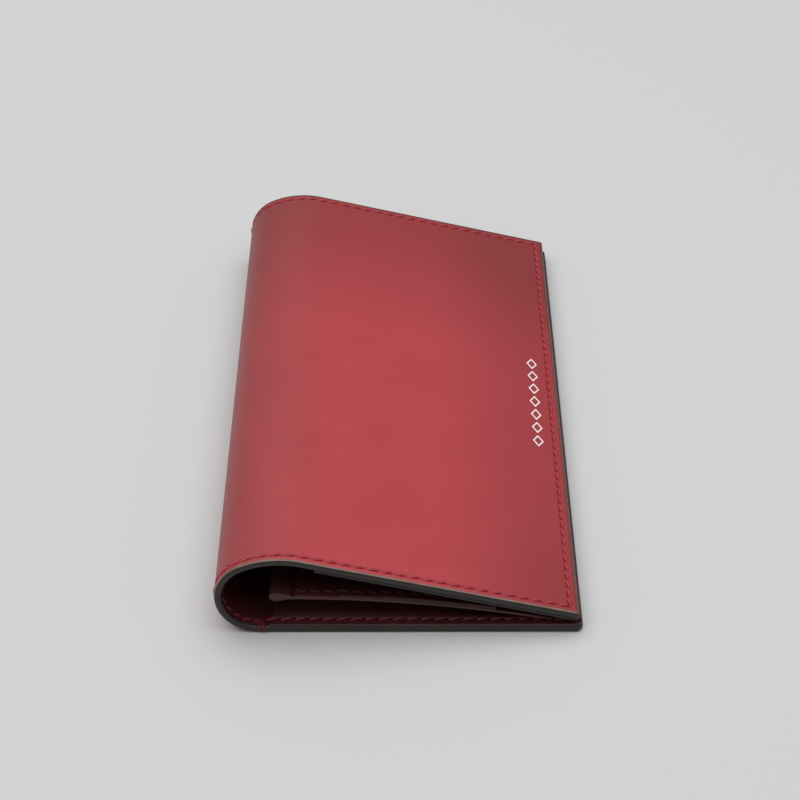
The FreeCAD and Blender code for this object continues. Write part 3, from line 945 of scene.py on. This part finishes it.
def make_cover_panels():
    alongs = along_values(PANEL_BEAD_INSET)
    outline = drawn_in(PANEL_BEAD_INSET)
    end = BACK_PANEL_END
    travels = merged(inset_steps(PANEL_BEAD_INSET), spread(5 * MM, end - 4 * MM, FLAT_STEP),
                     [end - step for step in MOUTH_STEPS])
    panel = sheet("back_pocket", SHELL, travels, alongs, lambda travel, along: PANEL_LOW,
                  lipped(PANEL_TOP, end), [INNER, BURNISHED], outline)
    ride(panel, "back_cover", "inner_leather", "back_pocket_panel")
    bead("back_pocket_edge", cover_path(0.0, -1, BACK_CORNER, travels), PANEL_LOW, PANEL_TOP,
         -0.04 * MM, "back_cover", BURNISHED)

    low, high = ROOT_STRIP_LOW.z, STRIP_TOP
    half = ROOT_STRIP_HIGH.y
    travels = merged(inset_steps(PANEL_BEAD_INSET), spread(5 * MM, ROOT_STRIP_END, 3 * MM))
    alongs = [along for along in along_values(PANEL_BEAD_INSET) if abs(along) < half]
    alongs = merged(alongs, [-half, half])
    strip = sheet("leaf_root", SHELL, travels, alongs, lambda travel, along: low,
                  lipped(high, -1.0), [ROOT_STRIP, BURNISHED])
    ride(strip, "back_cover", "inner_leather", "leaf_root_strip")

    start = FRONT_START + PASSPORT_MOUTH
    low = LINING_TOP + GLUE
    high = low + PASSPORT_PANEL
    tip = SHELL.length
    alongs = along_values(PANEL_BEAD_INSET)
    travels = merged([start + step for step in MOUTH_STEPS],
                     spread(start + 4 * MM, tip - 5 * MM, FLAT_STEP),
                     [tip - step for step in inset_steps(PANEL_BEAD_INSET)])
    panel = sheet("passport_pocket", SHELL, travels, alongs, lambda travel, along: low,
                  lipped(high, start), [INNER, BURNISHED], outline)
    ride(panel, "front_cover", "inner_leather", "passport_panel")
    bead("passport_pocket_edge", cover_path(tip, 1, FRONT_CORNER, travels), low - 0.3 * MM, high,
         BEAD_BULGE - 0.02 * MM, "front_cover", PANEL_PAINT)

    start = FRONT_START + TICKET_MOUTH
    finish = SHELL.length - TICKET_MARGIN
    low = high + GLUE
    high = low + TICKET_PANEL
    half = HALF_LENGTH - TICKET_INSET
    travels = merged([start + step for step in MOUTH_STEPS], spread(start + 4 * MM, finish, FLAT_STEP))
    panel = sheet("ticket_pocket", SHELL, travels, spread(-half, half, LENGTH_STEP),
                  lambda travel, along: low, lipped(high, start, False), [INNER, BURNISHED])
    ride(panel, "front_cover", "inner_leather", "ticket_panel")
    stitches = StitchMesh()
    bed = high - 0.22 * MM
    for along in seam_places(-half + 1 * MM, half - 1 * MM):
        stitches.add(SHELL, finish - 1.6 * MM, along, LENGTHWISE_INSIDE, bed, True, SHADED_LEAF_THREAD_SLOT)
    for travel in seam_places(start + 1 * MM, finish - 1.6 * MM):
        for side in (-1, 1):
            stitches.add(SHELL, travel, side * (half - 1.6 * MM), ACROSS_INSIDE, bed, True,
                         SHADED_LEAF_THREAD_SLOT)
    ride(stitches.finish("ticket_pocket_stitching"), "front_cover", "thread")


# ---------------- card leaf and gussets

LEAF = make_leaf()
LEAF_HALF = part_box("leaf_base")[1][1]


def leaf_sheet(name, start, end, low, high, nodes, gape=0.0):
    """A sheet of the leaf between two depths; its mouth may gape a little in the middle."""
    half = LEAF_HALF
    edge = [half - step * MM for step in (0.0, 0.2, 0.5, 1.0)]
    alongs = merged(edge, [-value for value in edge], spread(-half + 2 * MM, half - 2 * MM, LENGTH_STEP))
    travels = merged([start, start + 0.3 * MM], spread(start + 1 * MM, end - 4 * MM, 3 * MM),
                     [end - step for step in MOUTH_STEPS])

    def lift(travel, along):
        near_mouth = max(0.0, 1 - (end - travel) / (9 * MM)) ** 2
        return gape * near_mouth * (1 - (along / half) ** 2)

    def underside(travel, along):
        return low + lift(travel, along)

    def top(travel, along):
        distance = end - travel
        side = half - abs(along)
        crease = 0.09 * MM * smooth_dip(distance - 1.6 * MM, 0.45 * MM)
        worn = 0.12 * MM * max(0.0, 1 - min(distance, side) / (0.5 * MM)) ** 2
        return high - crease - worn + lift(travel, along)

    piece = sheet(name, LEAF, travels, alongs, underside, top, [INNER, BURNISHED])
    return ride(piece, "card_leaf", "inner_leather", *nodes)


def slot_end(number):
    """Travel of the mouth of one card pocket, counted from the lowest."""
    return LEAF.length - BINDING_WIDTH - 1.0 * MM - SLOT_STEP * number


def hem_half(share):
    """Half thickness of the rolled hem from its sewn side (0) to where its nose begins (1)."""
    return HEM_HALF + HEM_SWELL * share * share * (3 - 2 * share)


def make_hem(mouth):
    """The leaf's mouth: its binding is rolled over the edge as a soft hem with a round nose."""
    start, nose = mouth - BINDING_WIDTH, mouth - HEM_NOSE
    upper = []
    for index in range(10):
        share = index / 9
        upper.append((start + (nose - start) * share, hem_half(share)))
    for index in range(1, 8):
        angle = math.pi / 2 * index / 8
        upper.append((nose + HEM_NOSE * math.sin(angle), hem_half(1.0) * math.cos(angle)))
    profile = [(travel, HEM_MIDDLE + half) for travel, half in upper]
    profile += [(mouth, HEM_MIDDLE)]
    profile += [(travel, HEM_MIDDLE - half) for travel, half in reversed(upper)]
    sections = []
    ends = [0.0, 0.1 * MM, 0.3 * MM, 0.6 * MM]
    half = LEAF_HALF + 0.07 * MM
    alongs = merged([-half + end for end in ends], spread(-half + 2 * MM, half - 2 * MM, 6 * MM),
                    [half - end for end in ends])
    for along in alongs:
        from_end = (half - abs(along)) / (0.6 * MM)
        shrink = 0.88 + 0.12 * math.sqrt(max(0.0, 1 - max(0.0, 1 - from_end) ** 2))
        sections.append([LEAF.place(start + (travel - start) * (0.96 + 0.04 * shrink), along,
                                    HEM_MIDDLE + (depth - HEM_MIDDLE) * shrink)
                         for travel, depth in profile])
    hem = sweep("leaf_hem", sections, [BURNISHED])
    ride(hem, "card_leaf", "inner_leather", "leaf_edge_binding")


def make_card_leaf():
    root, mouth = 0.0, LEAF.length
    leaf_sheet("leaf_underside", root, mouth - 2.5 * MM, 0.0, LEAF_SHEET, ["leaf_base"])
    low = LEAF_SHEET + GLUE
    for number in range(SLOT_COUNT):
        leaf_sheet("card_pocket_%d" % (number + 1), SLOT_ROOT, slot_end(number), low, low + SLOT_SHEET,
                   ["card_slot_%d" % (number + 1)], SLOT_GAPE)
        low += SLOT_SHEET + GLUE
    make_hem(mouth)
    make_leaf_stitching(mouth)


def leaf_top(travel):
    """Height at which the leaf's stitches are bedded, a little below its upper face."""
    height = LEAF_SHEET - 0.15 * MM
    if travel > LEAF.length - BINDING_WIDTH:
        return HEM_MIDDLE + hem_half(0.12)
    for number in range(SLOT_COUNT):
        if SLOT_ROOT < travel < slot_end(number):
            height += SLOT_SHEET + GLUE
    return height


def make_leaf_stitching(mouth):
    stitches = StitchMesh()
    row = LEAF_HALF - 2.2 * MM
    for travel in seam_places(SLOT_ROOT + 1 * MM, mouth - BINDING_WIDTH - 0.5 * MM):
        for along in (-row, 0.0, row):
            stitches.add(LEAF, travel, along, ACROSS, leaf_top(travel), True, SHADED_LEAF_THREAD_SLOT)
            if along:
                stitches.add(LEAF, travel, along, ACROSS_INSIDE, 0.0, False, SHADED_LEAF_THREAD_SLOT)
    for along in seam_places(-row, row):
        stitches.add(LEAF, mouth - BINDING_WIDTH + 1.1 * MM, along, LENGTHWISE,
                     leaf_top(mouth), True, SHADED_LEAF_THREAD_SLOT)
        stitches.add(LEAF, SLOT_ROOT + 1.5 * MM, along, LENGTHWISE,
                     leaf_top(SLOT_ROOT + 2 * MM), True, SHADED_LEAF_THREAD_SLOT)
    ride(stitches.finish("leaf_stitching"), "card_leaf", "thread")


def leaf_underside(x):
    bend = LEAF.runs[0]
    return bend.centre.z + math.sqrt(bend.radius ** 2 - (x - bend.centre.x) ** 2)


def gusset_ring(x, outer, inner, bottom, top, turned):
    """Section of an end wall: lower flap, wall folded inwards, and a thicker turned flap on top."""
    inwards = 1 if inner > outer else -1
    wall = 0.22 * MM
    low_flap = bottom + 0.45 * MM
    high_flap = top - turned
    steps = 6
    face = [(outer, bottom), (outer - inwards * 0.1 * MM, (bottom + low_flap) / 2), (outer, low_flap)]
    for index in range(1, steps * 2):
        share = index / (steps * 2)
        fold = 1 - abs(2 * share - 1) ** 1.6
        face.append((outer + (inner - outer) * fold, low_flap + (high_flap - low_flap) * share))
    for index in range(7):
        angle = math.pi * (index / 6 - 0.5)
        face.append((outer - inwards * 0.18 * MM * math.cos(angle),
                     (high_flap + top) / 2 + turned / 2 * math.sin(angle)))
    back = [(y + inwards * wall * 2, z) for y, z in face]
    back[0] = (outer + inwards * 3 * MM, bottom)
    back[-1] = (outer + inwards * 3 * MM, top)
    return [Vector((x, y, z)) for y, z in face + back[::-1]]


def make_gussets():
    """Folded leather walls that close the compartment's ends."""
    for side, node in ((-1, "near_gusset"), (1, "far_gusset")):
        low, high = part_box(node)
        outer = side * max(abs(low.y), abs(high.y))
        inner = side * min(abs(low.y), abs(high.y))
        start, end = low.x - 0.4 * MM, high.x + 8 * MM
        sections = []
        for x in merged([start + step * MM for step in (0.0, 0.12, 0.3, 0.6, 1.0)],
                        spread(start + 1.8 * MM, end, 3 * MM)):
            share = (x - start) / (end - start)
            rounding = math.sqrt(max(0.0, 1 - max(0.0, 1 - (x - start) / (0.6 * MM)) ** 2))
            turned = (1.1 - 0.55 * min(1.0, share * 1.3)) * MM
            under_hem = min(1.0, max(0.0, (low.x - 1.0 * MM + BINDING_WIDTH - x) / (4.7 * MM)))
            top = leaf_underside(x) - 0.03 * MM - hem_half(under_hem) + hem_half(0.0)
            drawn = outer + (inner - outer) * 0.12 * (1 - rounding)
            sections.append(gusset_ring(x, drawn, inner, PANEL_TOP + 0.03 * MM, top, turned))
        gusset = sweep("gusset_" + node.split("_")[0], sections, [GUSSET])
        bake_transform(gusset)
        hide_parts(node)


# ---------------- small pieces

def make_mouth_wraps():
    """Two strands at each end that pass over the edge beside the pocket's mouth."""
    radius = 0.36 * MM
    wraps = []
    low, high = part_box("pocket_mouth_wraps")
    for side in (-1, 1):
        for x, lean in ((low[0] - 0.5 * MM, 0.4 * MM), (high[0] - 1.5 * MM, 0.5 * MM)):
            end = side * HALF_LENGTH
            route = [
                Vector((x - lean, end - side * 2.9 * MM, LINING_TOP - 0.25 * MM)),
                Vector((x - lean * 0.6, end - side * 2.2 * MM, LINING_TOP + 0.22 * MM)),
                Vector((x, end - side * 0.5 * MM, LINING_TOP + 0.24 * MM)),
                Vector((x + lean * 0.2, end + side * 0.3 * MM, LINING_TOP - 0.15 * MM)),
                Vector((x + lean * 0.6, end + side * 0.36 * MM, LINING_TOP * 0.66)),
                Vector((x + lean * 1.0, end + side * 0.28 * MM, 1.3 * MM)),
                Vector((x + lean * 1.2, end - side * 0.2 * MM, 1.1 * MM)),
            ]
            wraps.append(tube_sections(route, radius))
    meshes = []
    for number, sections in enumerate(wraps):
        meshes.append(sweep("mouth_wrap_%d" % number, sections, [SHADED_INNER_THREAD]))
    for number, piece in enumerate(meshes):
        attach(piece, "back_cover")
        if number == 0:
            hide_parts("pocket_mouth_wraps")


def tube_sections(route, radius, sides=8, per_run=4):
    """Rings round a smooth route."""
    points = []
    padded = [route[0] * 2 - route[1]] + route + [route[-1] * 2 - route[-2]]
    for index in range(1, len(padded) - 2):
        before, first, second, after = padded[index - 1:index + 3]
        for step in range(per_run):
            share = step / per_run
            points.append(0.5 * ((2 * first) + (second - before) * share
                                 + (2 * before - 5 * first + 4 * second - after) * share ** 2
                                 + (3 * first - before - 3 * second + after) * share ** 3))
    points.append(route[-1])
    rings = []
    for index, point in enumerate(points):
        ahead = points[min(index + 1, len(points) - 1)] - points[max(index - 1, 0)]
        tangent = ahead.normalized()
        side_axis = Vector((1, 0, 0))
        side_axis = (side_axis - tangent * side_axis.dot(tangent)).normalized()
        up_axis = tangent.cross(side_axis)
        rings.append([point + (side_axis * math.cos(angle) + up_axis * math.sin(angle) * 0.75) * radius
                      for angle in (2 * math.pi * turn / sides for turn in range(sides))])
    return rings


def dress_foil():
    node = frame["nodes"]["foil_ornament"]
    node.data.materials.clear()
    node.data.materials.append(FOIL)


# ---------------- stage, light and camera

WORLD_STRENGTH = 0.34
SOFTBOX_PLACE = (-0.12, 0.05, 1.3)
SOFTBOX_SIZE = 2.4
SOFTBOX_POWER = 22.0
CAMERA_PLACE = (0.00045, -0.5618, 0.4026)
CAMERA_TURN = (90 - 35.02, 0.07, -0.03)
SENSOR_WIDTH = 36
LENS = 100.53


def make_stage():
    floor = build("studio_floor", [(-3, -3, 0), (3, -3, 0), (3, 3, 0), (-3, 3, 0)], [(0, 1, 2, 3)],
                  [(0, 0), (1, 0), (1, 1), (0, 1)],
                  [plain_material("studio_floor", (0.62, 0.62, 0.625), 0.85)])
    world = bpy.data.worlds.new("studio")
    bpy.context.scene.world = world
    world.use_nodes = True
    background = world.node_tree.nodes["Background"]
    background.inputs["Color"].default_value = (1.0, 1.0, 1.0, 1)
    background.inputs["Strength"].default_value = WORLD_STRENGTH


def make_light():
    """One large round softbox overhead, aimed at the middle of the floor."""
    data = bpy.data.lights.new("overhead_softbox", "AREA")
    data.shape = "DISK"
    data.size = SOFTBOX_SIZE
    data.energy = SOFTBOX_POWER
    light = bpy.data.objects.new("overhead_softbox", data)
    light.location = SOFTBOX_PLACE
    light.rotation_euler = (-Vector(SOFTBOX_PLACE)).to_track_quat("-Z", "Y").to_euler()
    bpy.context.scene.collection.objects.link(light)


def make_camera():
    data = bpy.data.cameras.new("camera")
    data.sensor_width = SENSOR_WIDTH
    data.lens = LENS
    data.clip_start = 0.01
    data.clip_end = 20
    camera = bpy.data.objects.new("camera", data)
    camera.location = CAMERA_PLACE
    camera.rotation_euler = [math.radians(angle) for angle in CAMERA_TURN]
    bpy.context.scene.collection.objects.link(camera)
    bpy.context.scene.camera = camera


make_shell_sheets()
make_painted_edges()
make_stitching()
make_cover_panels()
make_card_leaf()
make_gussets()
make_mouth_wraps()
dress_foil()
make_stage()
make_light()
make_camera()
bpy.context.scene.view_settings.view_transform = "Standard"
